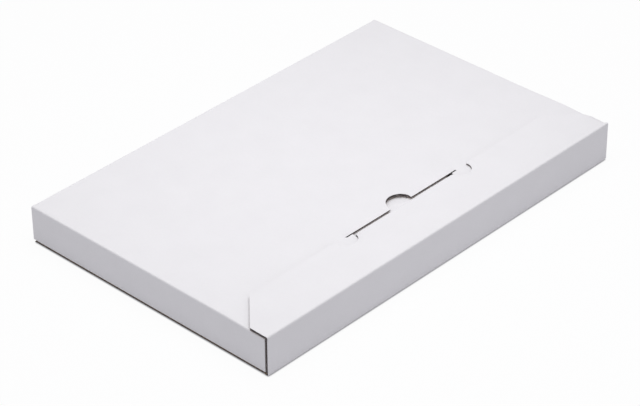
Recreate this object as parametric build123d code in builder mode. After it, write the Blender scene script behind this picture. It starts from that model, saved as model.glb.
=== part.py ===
"""Flat corrugated mailer box, folded from one die-cut sheet of thin fluted board.

The box lies with its lock upwards. The origin is the middle of the underside, X runs along the
length and along the flutes, the closing flap is creased to the near wall at -Y, and Z is up.
All sizes are in millimetres.
"""

import os
from math import asin, cos, degrees, radians, sin, tan

from build123d import *

# Box, outside to outside
length = 225.0
width = 145.0
height = 20.0

# Board and creases
board = 1.5
crease_radius = 0.8  # outside of a folded crease, which is sharp inside
crease_margin = 0.4  # from the inside of a crease to the next panel
slip = 0.2  # room between walls that stand against each other
lay = 0.1  # room under the flap, which lies on the panel
hinge_room = 0.15  # room between the near wall's round top edge and the flap
dust_flap_length = 40.0

# Closing flap, its depth and end measured from the near face
flap_depth = 25.15
flap_end = 10.05
flap_taper = 45.0  # slope of the flap's ends, degrees

# Tuck lock in the middle of the flap's free edge
lock_half = 37.6  # from the middle to the centre of each round cut
relief_radius = 4.8  # round cuts that free the tongue from the flap
crease_step = 2.6  # tongue's crease, beyond the bottom of the round cuts
slit_half = 36.2
slit_distance = 27.4  # near face to the slit's far edge
slit_width = 1.2  # of the slit's thin ends, past the tongue
notch_radius = 6.8
tongue_reach = 11.0  # past the slit's far edge, under the panel
tongue_corner = 6.0
tongue_room = 0.3  # room all round the tongue in the slit and under the panel
dip_angle = 50.0  # slope of the tongue where it goes down through the slit, degrees
dip_radius = 0.8  # inside radius of the tongue's two bends

# Planes of the sheet
half_length = length / 2
near_y = -width / 2
far_y = width / 2
fold = board + crease_margin  # width of a crease, from its outside
panel_top = height - board - lay
panel_under = panel_top - board
hinge_y = near_y + board / 2
hinge_z = height - board / 2
wall_foot = board + slip  # where walls stand on the bottom panel
wall_head = panel_under - crease_margin  # where the creases under the top panel end

# Tray walls, which hang from the top panel's edges inside the cover
tray_y = near_y + board + slip
tray_fold_y = tray_y + fold
back_fold_y = far_y - fold
panel_half = half_length - fold
corner_half = panel_half - slip  # long creases stop short of the end walls
dust_x = half_length - board - slip
dust_fold_x = dust_x - fold
dust_low = fold + slip
dust_high = wall_head - slip

# Lock
flap_under = height - board
free_y = near_y + flap_depth
neck_depth = relief_radius - crease_step
neck_angle = degrees(asin(neck_depth / relief_radius))  # of each round cut beside the tongue
tongue_crease_y = free_y - neck_depth
tongue_half = lock_half - relief_radius
slit_y = near_y + slit_distance
tip_y = slit_y + tongue_reach
tongue_under = panel_under - tongue_room - board
dip_bends = (2 * dip_radius + board) * (1 - cos(radians(dip_angle)))  # drop in the two bends
dip_length = (flap_under - tongue_under - dip_bends) / sin(radians(dip_angle))
slot_y = tongue_crease_y - tongue_room  # hidden near edge of the slot, under the flap
slot_relief = relief_radius - tongue_room  # the slot follows the tongue's neck

os.makedirs("parts", exist_ok=True)

# The folded blank without its flap: outside faces are drawn and the board is laid inside them
with BuildPart() as carton:
    # Cover: near wall with a round top edge, near bottom crease and bottom panel
    with BuildSketch(Plane.YZ):
        with BuildLine():
            FilletPolyline((near_y, hinge_z), (near_y, 0), (back_fold_y, 0), radius=crease_radius)
            offset(amount=board, side=Side.LEFT)
        make_face()
        with Locations((hinge_y, hinge_z)):
            Circle(board / 2)
    extrude(amount=half_length, both=True)

    # Back wall with its two long creases
    with BuildSketch(Plane.YZ):
        with BuildLine():
            FilletPolyline(
                (back_fold_y, 0),
                (far_y, 0),
                (far_y, panel_top),
                (back_fold_y, panel_top),
                radius=crease_radius,
            )
            offset(amount=board, side=Side.LEFT)
        make_face()
    extrude(amount=corner_half, both=True)

    # Top panel
    with BuildSketch(Plane.XY.offset(panel_under)):
        with Locations((0, (tray_fold_y + back_fold_y) / 2)):
            Rectangle(2 * panel_half, back_fold_y - tray_fold_y)
    extrude(amount=board)

    # Tray front, behind the near wall
    with BuildSketch(Plane.YZ):
        with BuildLine():
            front_edge = (tray_y, panel_top)
            FilletPolyline((tray_fold_y, panel_top), front_edge, (tray_y, wall_foot), radius=crease_radius)
            offset(amount=board, side=Side.LEFT)
        make_face()
    extrude(amount=corner_half, both=True)

    # End walls, creased down from the top panel and standing on the bottom panel
    with BuildSketch(Plane.XZ.offset(slip - far_y)):
        with BuildLine():
            end_edge = (half_length, panel_top)
            FilletPolyline((panel_half, panel_top), end_edge, (half_length, wall_foot), radius=crease_radius)
            offset(amount=board, side=Side.RIGHT)
        make_face()
        mirror(about=Plane.YZ)
    extrude(amount=far_y - slip - tray_y)

    # Dust flaps, creased inwards from the ends of the back wall and of the tray front
    end_cut = corner_half - dust_fold_x
    for wall_y, inwards in ((far_y, -1), (tray_y, 1)):
        with BuildSketch(Plane.XY.offset(wall_foot)):
            with Locations((dust_fold_x + end_cut / 2, wall_y + inwards * board / 2)):
                Rectangle(end_cut, board)
            mirror(about=Plane.YZ)
        extrude(amount=wall_head - wall_foot, mode=Mode.SUBTRACT)
        with BuildSketch(Plane.XY.offset(dust_low)):
            with BuildLine():
                dust_end = (dust_x, wall_y + inwards * dust_flap_length)
                FilletPolyline((dust_fold_x, wall_y), (dust_x, wall_y), dust_end, radius=crease_radius)
                offset(amount=board, side=Side.LEFT if inwards > 0 else Side.RIGHT)
            make_face()
            mirror(about=Plane.YZ)
        extrude(amount=dust_high - dust_low)

    # Slit with thin ends, widened under the flap round the tongue's neck, and the thumb notch
    with BuildSketch(Plane.XY.offset(panel_under)):
        with Locations((0, slit_y - slit_width / 2)):
            Rectangle(2 * slit_half, slit_width)
        with BuildLine():
            slot_neck = CenterArc((lock_half, free_y), slot_relief, 180 + neck_angle, -neck_angle)
            slot_corner = (slot_neck @ 0).X
            Polyline((0, slot_y), (slot_corner, slot_y), slot_neck @ 0)
            Polyline(slot_neck @ 1, (lock_half - slot_relief, slit_y), (0, slit_y))
            mirror(about=Plane.YZ)
        make_face()
        with BuildLine():
            notch = CenterArc((0, slit_y), notch_radius, 0, 180)
            Line(notch @ 1, notch @ 0)
        make_face()
    extrude(amount=board, mode=Mode.SUBTRACT)

# Closing flap, flat on the top panel, with tapered ends and round relief cuts beside the tongue
with BuildPart() as closing_flap:
    root_y = hinge_y + board / 2 + hinge_room
    end_y = near_y + flap_end
    free_half = half_length - (free_y - end_y) / tan(radians(flap_taper))
    with BuildSketch(Plane.XY.offset(flap_under)):
        with BuildLine():
            Polyline(
                (0, root_y),
                (half_length, root_y),
                (half_length, end_y),
                (free_half, free_y),
                (lock_half + relief_radius, free_y),
            )
            relief = CenterArc((lock_half, free_y), relief_radius, 0, neck_angle - 180)
            Line(relief @ 1, (0, tongue_crease_y))
            mirror(about=Plane.YZ)
        make_face()
    extrude(amount=board)

# Tongue, creased down through the slit and lying under the top panel
with BuildPart() as tuck_tongue:
    with BuildSketch(Plane.YZ):
        with BuildLine():
            upper_bend = JernArc((tongue_crease_y, flap_under), (1, 0), dip_radius, -dip_angle)
            dip = PolarLine(upper_bend @ 1, dip_length, -dip_angle)
            lower_bend = JernArc(dip @ 1, dip % 1, dip_radius + board, dip_angle)
            Line(lower_bend @ 1, (tip_y, tongue_under))
            offset(amount=board, side=Side.LEFT)
        make_face()
    extrude(amount=lock_half, both=True)
    with BuildSketch(Plane.XY):
        with BuildLine():
            neck = CenterArc((lock_half, free_y), relief_radius, 180 + neck_angle, -neck_angle)
            Line((0, tongue_crease_y), neck @ 0)
            side = Line(neck @ 1, (tongue_half, tip_y - tongue_corner))
            corner = JernArc(side @ 1, side % 1, tongue_corner, 90)
            Line(corner @ 1, (0, tip_y))
            mirror(about=Plane.YZ)
        make_face()
    extrude(amount=height, mode=Mode.INTERSECT)

carton.part.label = "carton"
closing_flap.part.label = "closing_flap"
tuck_tongue.part.label = "tuck_tongue"
export_step(carton.part, "parts/carton.step")
export_step(closing_flap.part, "parts/closing_flap.step")
export_step(tuck_tongue.part, "parts/tuck_tongue.step")
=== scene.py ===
"""Dresses the flat corrugated mailer box: real fluted board, white outside and brown inside.

Every panel is drawn on the flat blank and then bent along a path, so liners and flutes run on round
the creases, where the board is crushed. A place on the blank is given by a, along the flutes, and b,
across them. Lengths are in metres.
"""

import math

import bmesh
import bpy
from mathutils import Matrix, Vector


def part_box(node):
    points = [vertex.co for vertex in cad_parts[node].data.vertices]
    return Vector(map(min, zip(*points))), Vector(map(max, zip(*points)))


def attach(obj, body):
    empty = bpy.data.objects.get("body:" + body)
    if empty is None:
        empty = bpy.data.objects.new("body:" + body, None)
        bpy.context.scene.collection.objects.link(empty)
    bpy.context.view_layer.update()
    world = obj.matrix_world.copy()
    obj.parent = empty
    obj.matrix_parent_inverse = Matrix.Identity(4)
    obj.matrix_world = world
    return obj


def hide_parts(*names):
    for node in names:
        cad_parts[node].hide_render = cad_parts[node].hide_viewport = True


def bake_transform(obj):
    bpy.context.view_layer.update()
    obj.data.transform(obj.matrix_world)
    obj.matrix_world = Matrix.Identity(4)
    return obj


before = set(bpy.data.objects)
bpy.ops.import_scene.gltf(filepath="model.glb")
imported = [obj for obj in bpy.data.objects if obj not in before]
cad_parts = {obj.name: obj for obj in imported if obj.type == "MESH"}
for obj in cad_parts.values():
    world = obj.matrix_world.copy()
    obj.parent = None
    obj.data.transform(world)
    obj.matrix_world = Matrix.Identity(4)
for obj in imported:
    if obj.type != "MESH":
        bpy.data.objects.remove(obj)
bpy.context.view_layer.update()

MM = 0.001

# Box, from the frame
LOW, HIGH = (Vector(corner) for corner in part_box("carton"))
HALF = HIGH.x
NEAR = LOW.y
FAR = HIGH.y
TOP = HIGH.z

# Board
BOARD = 1.5 * MM
LINER = 0.2 * MM
MEDIUM = 0.16 * MM
FLUTE = 3.3 * MM
SLIP = 0.2 * MM  # room between walls that stand against each other
LAY = 0.1 * MM  # room under the flap
DUST_LENGTH = 40.0 * MM

# Creases and cut ends
CREASE = 0.8 * MM  # outside radius of a fold
CREASE_LEFT = 0.5  # share of the board's thickness that is left in a fold
CREASE_REACH = 1.4 * MM  # the board recovers its thickness over this much on each side
CREASE_MARGIN = 1.1 * MM  # from a fold to the corner cuts of the blank
CORNER_MARGIN = 0.1 * MM  # the same at the bottom panel's far corners
CORNER_SLIP = 0.02 * MM  # long folds stop this much short of the end walls
CUT_LEFT = 0.42  # share of the thickness that is left at the slit and at the bottom panel's ends
WALL_LEFT = 0.88  # the same at the near wall's ends and at the flap's left end
FLAT_LEFT = 0.35  # at the flap's right end, which is pressed down
RELIEF_LEFT = 0.58  # round the cuts beside the tongue and along its sides
CUT_REACH = 2.4 * MM  # the board recovers its thickness over this much beside a cut
SPRING = 0.5 * MM  # how far the top panel springs up, with the flap that lies on it
SPRING_FOOT = 2.0 * MM  # height below which the walls don't follow
BOW = 0.5 * MM  # how much more the top panel's right edge rises, beside the flap's free edge
BOW_REACH = 20.0 * MM  # along that edge, each way
BOW_WIDTH = 40.0 * MM  # in from that edge

# Closing flap and lock, with halves from the middle
FLAP_DEPTH = 26.0 * MM  # from the near face
FLAP_END = 10.05 * MM  # from the near face to where the flap's ends begin to slant
LOCK_HALF = 37.6 * MM  # to the centre of a round cut
RELIEF = 4.8 * MM  # radius of the round cuts
RELIEF_SET = 1.1 * MM  # from the free edge in to the centre of a round cut
NECK_DEPTH = 3.05 * MM  # from the tongue's crease to the free edge
SLIT_DISTANCE = 27.4 * MM  # from the near face to the slit's far edge
SLIT_WIDTH = 1.2 * MM
SLIT_HALF = 36.2 * MM
NOTCH = 6.8 * MM  # radius of the thumb notch
TONGUE_ROOM = 0.3 * MM  # under the panel and before the tongue's crease
NECK_ROOM = 0.05 * MM  # beside the tongue's neck
TONGUE_REACH = 11.0 * MM  # past the slit, under the panel
TONGUE_CORNER = 6.0 * MM
DIP_RADIUS = 0.8 * MM
DIP_ANGLE = 50.0
SAG = 0.3 * MM  # the tongue is pushed down under the thumb notch
SAG_REACH = 9.0 * MM  # from the middle, each way
SAG_FLANK = 0.6  # share of that reach over which the tongue goes down

# Steps that divide bends, arcs and what runs out softly
FLUTE_STEPS = 12
BEND_STEPS = 8
HINGE_STEPS = 16
ARC_STEPS = 24
RELIEF_STEPS = 12
SAG_STEPS = 8
SOFT_STEPS = 4

# Tolerances
SAME = 1e-7  # places on the blank that are closer than this are one
HAIR = 1e-9  # a place this close before a part of a path is on that part
GRID = 1e8  # points of one level are told apart in so many parts of a metre
SHARP = math.radians(30)  # an edge that bends by more than this isn't smoothed

# Outside faces of the panels
PANEL_TOP = TOP - BOARD - LAY
TONGUE_TOP = PANEL_TOP - BOARD - TONGUE_ROOM
TRAY_Y = NEAR + BOARD + SLIP
DUST_X = HALF - BOARD - SLIP
WALL_FOOT = BOARD + SLIP
PANEL_HALF = HALF - CREASE - CREASE_MARGIN
EAR_HALF = PANEL_HALF - CORNER_SLIP
DUST_FOLD = DUST_X - CREASE - CREASE_MARGIN

WHITE, CORE, INSIDE = range(3)


def smooth(t):
    """Goes softly from 0 to 1."""
    t = min(max(t, 0.0), 1.0)
    return t * t * (3 - 2 * t)


def steps_of(reach, count, first=1):
    """Even steps of a reach, from the given step to the last."""
    return [reach * n / count for n in range(first, count + 1)]


class Path:
    """The board's outside face across its creases: runs and bends, with the outside on the left."""

    def __init__(self, start, heading):
        self.point = Vector(start)
        self.heading = math.radians(heading)
        self.length = 0.0
        self.parts = []
        self.bends = []
        self.creases = []

    @staticmethod
    def run(point, heading, curve, distance):
        """The point and the heading so far along one part."""
        if curve == 0:
            return point + distance * Vector((math.cos(heading), math.sin(heading))), heading
        turned = heading + curve * distance
        across = Vector((math.sin(turned) - math.sin(heading), math.cos(heading) - math.cos(turned)))
        return point + across / curve, turned

    def line(self, distance):
        """Goes straight on, and gives the length of the path so far."""
        self.parts.append((self.length, self.point.copy(), self.heading, 0.0))
        self.point += distance * Vector((math.cos(self.heading), math.sin(self.heading)))
        self.length += distance
        return self.length

    def bend(self, radius, turn):
        """Turns by so many degrees, to the left if positive."""
        curve = math.copysign(1 / radius, turn)
        part = (self.point.copy(), self.heading, curve)
        self.parts.append((self.length, *part))
        span = radius * math.radians(abs(turn))
        self.bends.append((self.length, self.length + span))
        self.point, self.heading = self.run(*part, span)
        self.length += span
        return self.length

    def crease(self):
        """A square fold to the right, in which the board is crushed."""
        end = self.bend(CREASE, -90)
        self.creases.append(self.bends[-1])
        return end

    def thickness(self, distance):
        """Share of the board's thickness that is left here."""
        share = 1.0
        for start, end in self.creases:
            away = max(start - distance, distance - end, 0.0)
            share = min(share, CREASE_LEFT + (1 - CREASE_LEFT) * smooth(away / CREASE_REACH))
        return share

    def at(self, distance, depth):
        """The point so far along the path and so deep in the board."""
        start, *part = self.parts[0]
        for following in self.parts:
            if following[0] > distance + HAIR:
                break
            start, *part = following
        point, heading = self.run(*part, distance - start)
        inwards = Vector((math.sin(heading), -math.cos(heading)))
        return point + depth * self.thickness(distance) * inwards

    def levels(self, steps=BEND_STEPS):
        """Where the path has to be divided for its bends to look round."""
        found = [start + step for start, end in self.bends for step in steps_of(end - start, steps, 0)]
        for start, end in self.creases:
            for step in steps_of(CREASE_REACH, SOFT_STEPS):
                found += [start - step, end + step]
        return found


def arc(centre, radius, start, turn):
    """Points along an arc, angles in degrees."""
    angles = [math.radians(start + step) for step in steps_of(turn, ARC_STEPS, 0)]
    return [(centre[0] + radius * math.cos(t), centre[1] + radius * math.sin(t)) for t in angles]


def both_sides(half):
    """A closed outline from its right half."""
    return half + [(-a, b) for a, b in reversed(half)]


def over(cuts, start=-math.inf, end=math.inf):
    """Lines at these values of a that divide the board, from one value of b to another."""
    return [(a, start, end) for a in cuts]


def bands(loops, span, marks):
    """Cuts the area inside the loops into bands, and gives their levels of b and each band's runs.

    A run is where it starts and ends on the band's lower level, and the same on its upper level.
    """
    inside = [b for loop in loops for _, b in loop] + list(marks)
    levels = [span[0]]
    for b in sorted(inside) + [span[1]]:
        if span[0] < b <= span[1] and b - levels[-1] > SAME:
            levels.append(b)
    edges = []
    for loop in loops:
        for p, q in zip(loop, loop[1:] + loop[:1]):
            if abs(p[1] - q[1]) > SAME:
                edges.append((p, q) if p[1] < q[1] else (q, p))

    def where(edge, b):
        (a0, b0), (a1, b1) = edge
        return a0 + (a1 - a0) * min(max((b - b0) / (b1 - b0), 0.0), 1.0)

    rows = []
    for low, high in zip(levels, levels[1:]):
        middle = (low + high) / 2
        crossed = [edge for edge in edges if edge[0][1] < middle < edge[1][1]]
        crossed.sort(key=lambda edge: where(edge, middle))
        row = []
        for left, right in zip(crossed[::2], crossed[1::2]):
            row.append(((where(left, low), where(right, low)), (where(left, high), where(right, high))))
        rows.append(row)
    return levels, rows


def add_layer(mesh, flat, loops, span, marks, splits, place, outer, inner, skins):
    """Adds one closed layer of the board to a bmesh.

    The loops bound the blank, and span is the part of it that is made, from one b to another. The
    layer is divided at marks, which are values of b, and at splits, which come from over().
    place(a, b, depth) puts a point of the blank in space, outer(b) and inner(b) are the depths of the
    layer's two faces, and skins are the materials of its outer face, its inner face and its cut edges.
    """
    levels, rows = bands(loops, span, marks)
    made = {}

    def key(a):
        return round(a * GRID)

    def vertex(a, k, side):
        spot = (key(a), k, side)
        if spot not in made:
            b = levels[k]
            depth = inner(b) if side else outer(b)
            made[spot] = mesh.verts.new(place(a, b, depth))
            made[spot][flat] = Vector((a, b, depth))
        return made[spot]

    def face(corners, skin):
        mesh.faces.new(corners).material_index = skin

    def edge_face(start, end):
        face([vertex(*start, 0), vertex(*end, 0), vertex(*end, 1), vertex(*start, 1)], skins[2])

    def divided(k, lower, upper):
        """Where the splits cross a whole run of a band."""
        low = max(lower[0], upper[0])
        high = min(lower[1], upper[1])
        found = []
        for a, start, end in splits:
            crosses = start < levels[k + 1] - SAME and levels[k] + SAME < end
            if crosses and low + SAME < a < high - SAME:
                found.append(a)
        return sorted(found)

    # Every level's points, which the bands below and above it share
    stops = [set() for _ in levels]
    for k, row in enumerate(rows):
        for lower, upper in row:
            shared = divided(k, lower, upper)
            stops[k].update((*lower, *shared))
            stops[k + 1].update((*upper, *shared))
    lines = []
    for found in stops:
        line = []
        for a in sorted(found):
            if not line or key(a) != key(line[-1]):
                line.append(a)
        lines.append(line)

    def between(k, low, high):
        return [a for a in lines[k] if key(low) <= key(a) <= key(high)]

    # Both faces of each run, and the cut edges at its ends
    for k, row in enumerate(rows):
        for lower, upper in row:
            shared = divided(k, lower, upper)
            lows = [lower[0], *shared, lower[1]]
            highs = [upper[0], *shared, upper[1]]
            for n in range(len(lows) - 1):
                near = between(k, lows[n], lows[n + 1])
                far = between(k + 1, highs[n], highs[n + 1])
                for side in (0, 1):
                    ring = [vertex(a, k, side) for a in near]
                    ring += [vertex(a, k + 1, side) for a in reversed(far)]
                    ring = list(dict.fromkeys(ring))
                    if len(ring) > 2:
                        face(ring, skins[side])
            for below, above in zip(lower, upper):
                edge_face((below, k), (above, k + 1))

    def covered(runs, a):
        return any(left < a < right for left, right in runs)

    # Cut edges along a level, where the board is on one side of it only
    for k, line in enumerate(lines):
        before = [upper for _, upper in rows[k - 1]] if k > 0 else []
        after = [lower for lower, _ in rows[k]] if k < len(rows) else []
        for a, following in zip(line, line[1:]):
            middle = (a + following) / 2
            if covered(before, middle) != covered(after, middle):
                edge_face((a, k), (following, k))


def add_board(mesh, flat, loops, span, place, marks, splits):
    """Adds fluted board to a bmesh: two liners and the wavy medium between them."""
    wave = BOARD / 2 - LINER - MEDIUM / 2
    first = math.floor(span[0] / FLUTE) * FLUTE_STEPS
    last = math.ceil(span[1] / FLUTE) * FLUTE_STEPS
    ripples = [n * FLUTE / FLUTE_STEPS for n in range(first, last + 1)]
    turn = 2 * math.pi / FLUTE

    def medium(b, side):
        slope = wave * turn * math.cos(turn * b)
        return BOARD / 2 + wave * math.sin(turn * b) + side * MEDIUM / 2 * math.hypot(1, slope)

    def add(levels, outer, inner, skins):
        add_layer(mesh, flat, loops, span, levels, splits, place, outer, inner, skins)

    add(marks, lambda b: 0.0, lambda b: LINER, (WHITE, CORE, WHITE))
    add([*ripples, *marks], lambda b: medium(b, -1), lambda b: medium(b, 1), (CORE, CORE, CORE))
    add(marks, lambda b: BOARD - LINER, lambda b: BOARD, (CORE, INSIDE, CORE))


def new_mesh():
    """An empty bmesh, with a layer that keeps each point's place on the flat blank."""
    mesh = bmesh.new()
    return mesh, mesh.verts.layers.float_vector.new("flat")


def finish_piece(name, mesh, papers):
    """Turns a bmesh into an object with smooth bends and sharp cut edges."""
    bmesh.ops.recalc_face_normals(mesh, faces=mesh.faces)
    for face in mesh.faces:
        face.smooth = True
    for edge in mesh.edges:
        edge.smooth = len(edge.link_faces) == 2 and edge.calc_face_angle(math.pi) < SHARP
    data = bpy.data.meshes.new(name)
    mesh.to_mesh(data)
    mesh.free()
    for material in papers:
        data.materials.append(material)
    piece = bpy.data.objects.new(name, data)
    bpy.context.scene.collection.objects.link(piece)
    return piece


# The wrap runs from the tray front's foot over the top, down the back, under the box and up again
wrap = Path((TRAY_Y, WALL_FOOT), 90)
TRAY_HEAD = wrap.line(PANEL_TOP - CREASE - WALL_FOOT)
PANEL_NEAR = wrap.crease()
PANEL_FAR = wrap.line(FAR - TRAY_Y - 2 * CREASE)
BACK_HEAD = wrap.crease()
BACK_FOOT = wrap.line(PANEL_TOP - 2 * CREASE)
BOTTOM_FAR = wrap.crease()
BOTTOM_NEAR = wrap.line(FAR - NEAR - 2 * CREASE)
WALL_BASE = wrap.crease()
WALL_HEAD = wrap.line(TOP - 2 * CREASE)
FLAP_ROOT = wrap.crease()
FLAP_ROOT_Y = wrap.point.x
TONGUE_CREASE_Y = NEAR + FLAP_DEPTH - NECK_DEPTH
TONGUE_CREASE = wrap.line(TONGUE_CREASE_Y - FLAP_ROOT_Y)
bend_drop = (2 * DIP_RADIUS + BOARD) * (1 - math.cos(math.radians(DIP_ANGLE)))
wrap.bend(DIP_RADIUS + BOARD, -DIP_ANGLE)
wrap.line((TOP - TONGUE_TOP - bend_drop) / math.sin(math.radians(DIP_ANGLE)))
wrap.bend(DIP_RADIUS, DIP_ANGLE)
TIP = wrap.line(NEAR + SLIT_DISTANCE + TONGUE_REACH - wrap.point.x)

# Places along the wrap
HINGE_REACH = 1.6 * MM  # the working crease takes in this much of the wall and of the flap
TAPER = FLAP_ROOT + NEAR + FLAP_END - FLAP_ROOT_Y
FREE_EDGE = TONGUE_CREASE + NECK_DEPTH
RELIEF_MIDDLE = FREE_EDGE - RELIEF_SET
PANEL_ORIGIN = PANEL_NEAR - (TRAY_Y + CREASE)  # from y to a place along the top panel
SLIT = PANEL_ORIGIN + NEAR + SLIT_DISTANCE
SPRUNG = PANEL_ORIGIN + NEAR + FLAP_DEPTH  # from here on the top panel has sprung up fully

# Where the board is divided to be crushed and bowed
BOW_STEPS = steps_of(BOW_REACH, SOFT_STEPS, -SOFT_STEPS)
BOW_LEVELS = [SPRUNG + step for step in BOW_STEPS]
BOW_CUTS = [HALF - step for step in steps_of(BOW_WIDTH, SOFT_STEPS)]
CUT_STEPS = steps_of(CUT_REACH, SOFT_STEPS)
END_CUTS = over([side * (HALF - step) for side in (-1, 1) for step in CUT_STEPS], BOTTOM_FAR)
SLIT_SPAN = (SLIT - SLIT_WIDTH, SLIT + CUT_REACH)
SLIT_CUTS = over(steps_of(NOTCH, SOFT_STEPS, -SOFT_STEPS), *SLIT_SPAN)
for edge in (-SLIT_HALF, -NOTCH, NOTCH, SLIT_HALF):
    outwards = math.copysign(1, edge)
    SLIT_CUTS += over([edge + outwards * step for step in (0, *CUT_STEPS)], *SLIT_SPAN)


def from_cut(a, b):
    """How far a place on the blank is from a raw end of the cover or from the slit's far edge."""
    if b > BOTTOM_FAR:
        return HALF - abs(a)
    if b < SLIT - SAME:
        return CUT_REACH
    return math.hypot(max(abs(a) - SLIT_HALF, NOTCH - abs(a), 0.0), b - SLIT)


def from_relief(a, b):
    """How far a place on the flap or tongue is from the cuts that free the tongue."""
    if b < FLAP_ROOT:
        return CUT_REACH
    return max(math.hypot(abs(a) - LOCK_HALF, min(b - RELIEF_MIDDLE, 0.0)) - RELIEF, 0.0)


def crushed(a, b, depth):
    """Depth in the board, which the die crushes beside its cuts."""
    away = from_relief(a, b)
    if away < CUT_REACH:
        share = RELIEF_LEFT + (1 - RELIEF_LEFT) * smooth(away / CUT_REACH)
        return BOARD + (depth - BOARD) * share
    left = CUT_LEFT + (WALL_LEFT - CUT_LEFT) * smooth((b - BOTTOM_NEAR) / (WALL_BASE - BOTTOM_NEAR))
    held = BOARD / 2  # the depth that stays where it is
    if a > 0:
        folded = smooth((b - WALL_HEAD) / (FLAP_ROOT + HINGE_REACH - WALL_HEAD))
        left += (FLAT_LEFT - left) * folded
        held += BOARD / 2 * folded
    share = left + (1 - left) * smooth(from_cut(a, b) / CUT_REACH)
    return held + (depth - held) * share


def sprung(x, y, z):
    """The top panel springs up behind the flap, and lifts the flap's free edge."""
    along = min((y - NEAR) / FLAP_DEPTH, 1.0)
    upwards = min(max((z - SPRING_FOOT) / (PANEL_TOP - SPRING_FOOT), 0.0), 1.0)
    beside = max(1 - abs(y - NEAR - FLAP_DEPTH) / BOW_REACH, 0.0)
    bow = BOW * beside * max(1 - (HALF - x) / BOW_WIDTH, 0.0)
    return (x, y, z + (SPRING * along + bow) * upwards)


def on_wrap(a, b, depth):
    """Where a place on the blank is once it is folded."""
    return sprung(a, *wrap.at(b, crushed(a, b, depth)))


def on_flap(a, b, depth):
    """The tongue dips at its crease, and the flap beside it runs on flat."""
    if b > TONGUE_CREASE and abs(a) > LOCK_HALF:
        return sprung(a, TONGUE_CREASE_Y + b - TONGUE_CREASE, TOP - crushed(a, b, depth))
    x, y, z = on_wrap(a, b, depth)
    beside = smooth((SAG_REACH - abs(a)) / (SAG_FLANK * SAG_REACH))
    along = smooth((b - TONGUE_CREASE) / NECK_DEPTH)
    return (x, y, z - SAG * beside * along)


def wrap_outline():
    """The blank from the tray front to the tongue's tip."""
    half = [
        (DUST_FOLD, 0),
        (DUST_FOLD, TRAY_HEAD - CREASE_MARGIN),
        (EAR_HALF, TRAY_HEAD - CREASE_MARGIN),
        (EAR_HALF, PANEL_NEAR + CREASE_MARGIN),
        (PANEL_HALF, PANEL_NEAR + CREASE_MARGIN),
        (PANEL_HALF, PANEL_FAR - CREASE_MARGIN),
        (EAR_HALF, PANEL_FAR - CREASE_MARGIN),
        (EAR_HALF, BACK_HEAD + CREASE_MARGIN),
        (DUST_FOLD, BACK_HEAD + CREASE_MARGIN),
        (DUST_FOLD, BACK_FOOT - CREASE_MARGIN),
        (EAR_HALF, BACK_FOOT - CREASE_MARGIN),
        (EAR_HALF, BOTTOM_FAR + CORNER_MARGIN),
        (HALF, BOTTOM_FAR + CORNER_MARGIN),
        (HALF, TAPER),
        (HALF - (FREE_EDGE - TAPER), FREE_EDGE),
        (LOCK_HALF + RELIEF, FREE_EDGE),
    ]
    half += arc((LOCK_HALF, RELIEF_MIDDLE), RELIEF, 0, -180)
    half.append((LOCK_HALF - RELIEF, TIP - TONGUE_CORNER))
    half += arc((LOCK_HALF - RELIEF - TONGUE_CORNER, TIP - TONGUE_CORNER), TONGUE_CORNER, 0, 90)
    return both_sides(half)


def slit_outline():
    """The slit with its thin ends, the slot for the tongue's neck and the thumb notch."""
    slot = PANEL_ORIGIN + TONGUE_CREASE_Y - TONGUE_ROOM
    round_cut = RELIEF - NECK_ROOM
    neck = math.degrees(math.asin((NECK_DEPTH - RELIEF_SET) / RELIEF))
    side = arc((LOCK_HALF, SPRUNG - RELIEF_SET), round_cut, 180 + neck, -neck)
    half = [
        (side[0][0], slot),
        *side,
        (LOCK_HALF - round_cut, SLIT - SLIT_WIDTH),
        (SLIT_HALF, SLIT - SLIT_WIDTH),
        (SLIT_HALF, SLIT),
        *arc((0, SLIT), NOTCH, 0, 90),
    ]
    return both_sides(half)


def box_board(papers):
    """The folded blank up to the closing flap's crease."""
    mesh, flat = new_mesh()
    loops = [wrap_outline(), slit_outline()]
    levels = wrap.levels() + BOW_LEVELS + [SLIT + step for step in CUT_STEPS]
    bow_cuts = over(BOW_CUTS, BOW_LEVELS[0], BOW_LEVELS[-1])
    span = (0, WALL_HEAD - HINGE_REACH)
    add_board(mesh, flat, loops, span, on_wrap, levels, END_CUTS + SLIT_CUTS + bow_cuts)

    # End walls hang from the top panel's ends, and its flutes run on down them
    end = Path((PANEL_HALF, PANEL_TOP), 0)
    end.line(CREASE_MARGIN)
    end.crease()
    foot = PANEL_HALF + end.line(PANEL_TOP - CREASE - BOARD)
    near = PANEL_ORIGIN + TRAY_Y
    far = PANEL_ORIGIN + FAR - SLIP
    wall = [(PANEL_HALF, near), (foot, near), (foot, far), (PANEL_HALF, far)]
    wall_cuts = over([PANEL_HALF + a for a in end.levels()])

    # Dust flaps stand behind the end walls, with their flutes level
    dust = Path((DUST_FOLD, 0), 0)
    dust.line(CREASE_MARGIN)
    dust.crease()
    tip = dust.line(DUST_LENGTH - CREASE)
    low = CREASE + CREASE_MARGIN + SLIP
    high = PANEL_TOP - CREASE - CREASE_MARGIN - SLIP
    tab = [(0, low), (tip, low), (tip, high), (0, high)]
    tab_cuts = over(dust.levels())

    for side in (1, -1):

        def on_end(a, b, depth):
            x, z = end.at(a - PANEL_HALF, depth)
            return sprung(side * x, b - PANEL_ORIGIN, z)

        add_board(mesh, flat, [wall], (near, far), on_end, BOW_LEVELS, wall_cuts)
        for wall_y, inwards in ((FAR, -1), (TRAY_Y, 1)):

            def on_dust(a, b, depth):
                x, y = dust.at(a, depth)
                return (side * x, wall_y - inwards * y, b)

            add_board(mesh, flat, [tab], (low, high), on_dust, [], tab_cuts)
    return finish_piece("box_board", mesh, papers)


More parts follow.
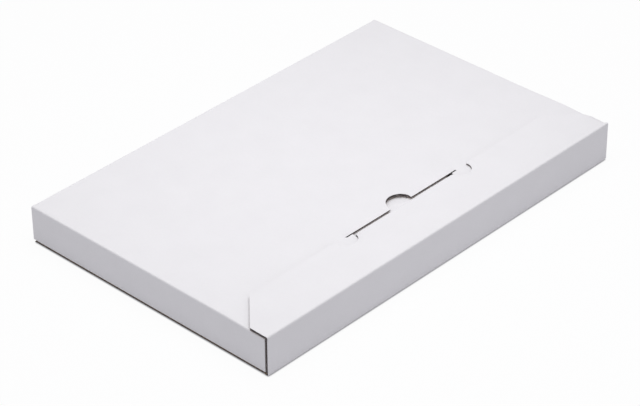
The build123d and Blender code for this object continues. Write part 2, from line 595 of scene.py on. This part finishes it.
def crease_board(papers):
    """The working crease between the near wall and the closing flap."""
    mesh, flat = new_mesh()
    span = (WALL_HEAD - HINGE_REACH, FLAP_ROOT + HINGE_REACH)
    add_board(mesh, flat, [wrap_outline()], span, on_wrap, wrap.levels(HINGE_STEPS), END_CUTS)
    return finish_piece("flap_crease", mesh, papers)


def flap_board(papers):
    """The closing flap with its tongue."""
    mesh, flat = new_mesh()
    span = (FLAP_ROOT + HINGE_REACH, TIP)
    relief_reach = RELIEF + CUT_REACH
    relief_steps = steps_of(relief_reach, RELIEF_STEPS, -RELIEF_STEPS)
    levels = wrap.levels() + [TAPER + step for step in CUT_STEPS]
    levels += [RELIEF_MIDDLE + step for step in relief_steps if step <= 0]
    levels += [FREE_EDGE + step for step in BOW_STEPS if step <= 0]
    sides = [side * (LOCK_HALF + step) for side in (-1, 1) for step in relief_steps]
    splits = END_CUTS + over(sides, RELIEF_MIDDLE - relief_reach)
    splits += over(steps_of(SAG_REACH, SAG_STEPS, -SAG_STEPS), TONGUE_CREASE)
    splits += over(BOW_CUTS, FREE_EDGE - BOW_REACH)
    add_board(mesh, flat, [wrap_outline()], span, on_flap, levels, splits)
    return finish_piece("flap_board", mesh, papers)


# Papers: each noise has its scale in parts of a metre, its detail and its share in the tone
WHITE_CLOUD = (70.0, 3.0, 0.45)
WHITE_FIBRE = ((600.0, 2400.0, 600.0), 5.0, 0.55)
WHITE_TONES = [(0.3, (0.81, 0.797, 0.822)), (0.7, (0.845, 0.832, 0.857))]
WHITE_ROUGH = (0.55, 0.7)
WHITE_GLOSS = 0.3
WHITE_GRAIN = (0.02 * MM, 0.5)  # height and strength of the fibres' bump
FLUTE_SHOW = 0.003 * MM  # height at which the flutes show through
BROWN_CLOUD = (160.0, 4.0, 0.4)
BROWN_FIBRE = ((500.0, 2600.0, 2600.0), 6.0, 0.6)
BROWN_ROUGH = 0.9
BROWN_GLOSS = 0.2
BROWN_GRAIN = (0.03 * MM, 0.6)
CORE_TONES = [(0.3, (0.17, 0.148, 0.148)), (0.5, (0.25, 0.22, 0.218)), (0.7, (0.34, 0.305, 0.298))]
INSIDE_TONES = [(0.3, (0.235, 0.165, 0.1)), (0.5, (0.3, 0.21, 0.13)), (0.7, (0.365, 0.26, 0.165))]


class Nodes:
    """A short way to write the nodes of a material or of the world."""

    def __init__(self, owner, shader):
        owner.use_nodes = True
        self.owner = owner
        self.tree = owner.node_tree
        self.shader = self.tree.nodes[shader]

    def add(self, kind, inputs=None, **settings):
        node = self.tree.nodes.new(kind)
        for setting, value in settings.items():
            setattr(node, setting, value)
        for socket, value in (inputs or {}).items():
            self.set(node.inputs[socket], value)
        return node

    def set(self, socket, value):
        if isinstance(value, bpy.types.NodeSocket):
            self.tree.links.new(value, socket)
        else:
            socket.default_value = value

    def shade(self, socket, value):
        """Sets one of the shader's own sockets."""
        self.set(self.shader.inputs[socket], value)

    def maths(self, operation, *values):
        node = self.add("ShaderNodeMath", operation=operation)
        for socket, value in zip(node.inputs, values):
            self.set(socket, value)
        return node.outputs[0]

    def noise(self, vector, scale, detail):
        inputs = {"Vector": vector, "Scale": scale, "Detail": detail}
        return self.add("ShaderNodeTexNoise", inputs).outputs[0]

    def stretched(self, vector, scale):
        """The coordinates multiplied along each axis, so that a noise lies along the others."""
        node = self.add("ShaderNodeVectorMath", operation="MULTIPLY")
        self.set(node.inputs[0], vector)
        self.set(node.inputs[1], scale)
        return node.outputs[0]

    def ramp(self, value, stops):
        node = self.add("ShaderNodeValToRGB", {"Fac": value})
        band = node.color_ramp
        for element, (position, colour) in zip(band.elements, (stops[0], stops[-1])):
            element.position = position
            element.color = (*colour, 1)
        for position, colour in stops[1:-1]:
            band.elements.new(position).color = (*colour, 1)
        return node.outputs[0]

    def bump(self, height, distance, strength=1.0, normal=None):
        node = self.add("ShaderNodeBump", {"Height": height, "Distance": distance, "Strength": strength})
        if normal is not None:
            self.set(node.inputs["Normal"], normal)
        return node.outputs[0]

    def seen(self):
        """1 for what the camera sees, straight or by way of metal and glass, and 0 for other light."""
        rays = self.add("ShaderNodeLightPath").outputs
        passed = self.maths("MAXIMUM", rays["Is Glossy Ray"], rays["Is Transmission Ray"])
        return self.maths("MAXIMUM", rays["Is Camera Ray"], passed)


def new_material(name):
    """The nodes of a new material."""
    return Nodes(bpy.data.materials.new(name), "Principled BSDF")


def paper(name, tones, cloud, fibre):
    """Paper with cloudy fibres in the given tones: its nodes, its places on the blank and its fibres."""
    nodes = new_material(name)
    flat = nodes.add("ShaderNodeAttribute", attribute_name="flat").outputs["Vector"]
    cloud_scale, cloud_detail, cloud_share = cloud
    fibre_scale, fibre_detail, fibre_share = fibre
    clouds = nodes.noise(flat, cloud_scale, cloud_detail)
    fibres = nodes.noise(nodes.stretched(flat, fibre_scale), 1.0, fibre_detail)
    cloud_tone = nodes.maths("MULTIPLY", clouds, cloud_share)
    fibre_tone = nodes.maths("MULTIPLY", fibres, fibre_share)
    nodes.shade("Base Color", nodes.ramp(nodes.maths("ADD", cloud_tone, fibre_tone), tones))
    return nodes, flat, fibres


def white_liner():
    """Bleached liner: almost even, with the flutes just showing through."""
    nodes, flat, fibres = paper("white_liner", WHITE_TONES, WHITE_CLOUD, WHITE_FIBRE)
    low, high = WHITE_ROUGH
    rough = nodes.add("ShaderNodeMapRange", {"Value": fibres, "To Min": low, "To Max": high})
    nodes.shade("Roughness", rough.outputs[0])
    nodes.shade("Specular IOR Level", WHITE_GLOSS)
    across = nodes.add("ShaderNodeSeparateXYZ", {"Vector": flat}).outputs["Y"]
    flutes = nodes.maths("SINE", nodes.maths("MULTIPLY", across, 2 * math.pi / FLUTE))
    nodes.shade("Normal", nodes.bump(fibres, *WHITE_GRAIN, nodes.bump(flutes, FLUTE_SHOW)))
    return nodes.owner


def brown_paper(name, tones):
    """Unbleached paper, dull and rough."""
    nodes, _, fibres = paper(name, tones, BROWN_CLOUD, BROWN_FIBRE)
    nodes.shade("Roughness", BROWN_ROUGH)
    nodes.shade("Specular IOR Level", BROWN_GLOSS)
    nodes.shade("Normal", nodes.bump(fibres, *BROWN_GRAIN))
    return nodes.owner


# Pieces, with the papers in the order of WHITE, CORE and INSIDE
papers = [
    white_liner(),
    brown_paper("brown_core", CORE_TONES),
    brown_paper("brown_liner", INSIDE_TONES),
]
box = box_board(papers)
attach(box, "box")
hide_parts("carton")

crease = crease_board(papers)
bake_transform(crease)

flap = flap_board(papers)
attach(flap, "flap")
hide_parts("closing_flap", "tuck_tongue")

# Stage: a white floor that darkens only close under the box
FLOOR_SIZE = 8.0
FLOOR_DROP = 0.15 * MM
FLOOR_COLOUR = (0.8, 0.8, 0.83, 1)
SHADOW_SHARE = 0.05  # share of the floor's real shading in what the camera sees
CONTACT_REACH = 1.0 * MM
CONTACT_SAMPLES = 16
# tones of the painted contact shadow in the floor's glow, from hemmed in by the box to open
CONTACT_TONES = [(0.35, (0.3, 0.3, 0.31)), (0.6, (0.75, 0.75, 0.76)), (0.9, (1, 1, 1))]

# Light
SKY_COLOUR = (0.985, 0.985, 1, 1)
SKY_FILL = 0.468  # strength of the sky's light on the box, where the camera sees 1
LAMP_PLACE = (-0.01, -0.01, 0.44)
LAMP_SIZE = 0.4
LAMP_POWER = 1.31


def stage_floor():
    """Glows white to the camera, apart from a painted contact shadow close under the box and a little of
    its real shading.
    """
    nodes = new_material("stage_floor")
    nodes.shade("Base Color", FLOOR_COLOUR)
    nodes.shade("Roughness", 1.0)
    nodes.shade("Specular IOR Level", 0.0)
    # painted shadow: the glow's colour darkens where the floor is hemmed in close under the box
    sky = nodes.add("ShaderNodeAmbientOcclusion", {"Distance": CONTACT_REACH}, samples=CONTACT_SAMPLES)
    contact = nodes.ramp(sky.outputs["AO"], CONTACT_TONES)
    glow = nodes.add("ShaderNodeEmission", {"Color": contact, "Strength": 1.0})
    glowing = nodes.maths("MULTIPLY", nodes.seen(), 1 - SHADOW_SHARE)
    mix = nodes.add("ShaderNodeMixShader")
    for socket, value in zip(mix.inputs, (glowing, nodes.shader.outputs[0], glow.outputs[0])):
        nodes.set(socket, value)
    nodes.set(nodes.tree.nodes["Material Output"].inputs["Surface"], mix.outputs[0])
    bpy.ops.mesh.primitive_plane_add(size=FLOOR_SIZE, location=(0, 0, -FLOOR_DROP))
    floor = bpy.context.object
    floor.name = "stage_floor"
    floor.data.materials.append(nodes.owner)


def studio_world():
    """White to the camera, and a dimmer even light on the box."""
    nodes = Nodes(bpy.data.worlds.new("studio"), "Background")
    nodes.shade("Color", SKY_COLOUR)
    level = nodes.add("ShaderNodeMapRange", {"Value": nodes.seen(), "To Min": SKY_FILL, "To Max": 1.0})
    nodes.shade("Strength", level.outputs[0])
    bpy.context.scene.world = nodes.owner


def soft_box():
    """A square area light that looks at the box from above."""
    data = bpy.data.lights.new("overhead", "AREA")
    data.size = LAMP_SIZE
    data.energy = LAMP_POWER
    lamp = bpy.data.objects.new("overhead", data)
    lamp.location = LAMP_PLACE
    lamp.rotation_euler = (-Vector(LAMP_PLACE)).to_track_quat("-Z", "Y").to_euler()
    bpy.context.scene.collection.objects.link(lamp)


stage_floor()
studio_world()
soft_box()

# Camera, fitted to the box's outline and creases in the photograph
AZIMUTH = math.radians(-46.559)
ELEVATION = math.radians(33.710)
ROLL = math.radians(-0.456)
DISTANCE = 1.1788
ASIDE = -2.88 * MM  # shift to its right
ABOVE = -1.61 * MM  # shift upwards
FOCAL_PIXELS = 2597.2
PICTURE_WIDTH = 640
SENSOR = 36.0


def photo_camera():
    """A camera with its three axes worked out from where it stands."""
    back = Vector(
        (
            math.sin(AZIMUTH) * math.cos(ELEVATION),
            -math.cos(AZIMUTH) * math.cos(ELEVATION),
            math.sin(ELEVATION),
        )
    )
    level = Vector((math.cos(AZIMUTH), math.sin(AZIMUTH), 0))
    upright = back.cross(level)
    right = math.cos(ROLL) * level + math.sin(ROLL) * upright
    up = math.cos(ROLL) * upright - math.sin(ROLL) * level
    data = bpy.data.cameras.new("photo_camera")
    data.sensor_width = SENSOR
    data.sensor_fit = "HORIZONTAL"
    data.lens = FOCAL_PIXELS / PICTURE_WIDTH * SENSOR
    camera = bpy.data.objects.new("photo_camera", data)
    turn = Matrix((right, up, back)).transposed().to_4x4()
    camera.matrix_world = Matrix.Translation(right * ASIDE + up * ABOVE + back * DISTANCE) @ turn
    bpy.context.scene.collection.objects.link(camera)
    bpy.context.scene.camera = camera


photo_camera()
bpy.context.scene.view_settings.view_transform = "Standard"
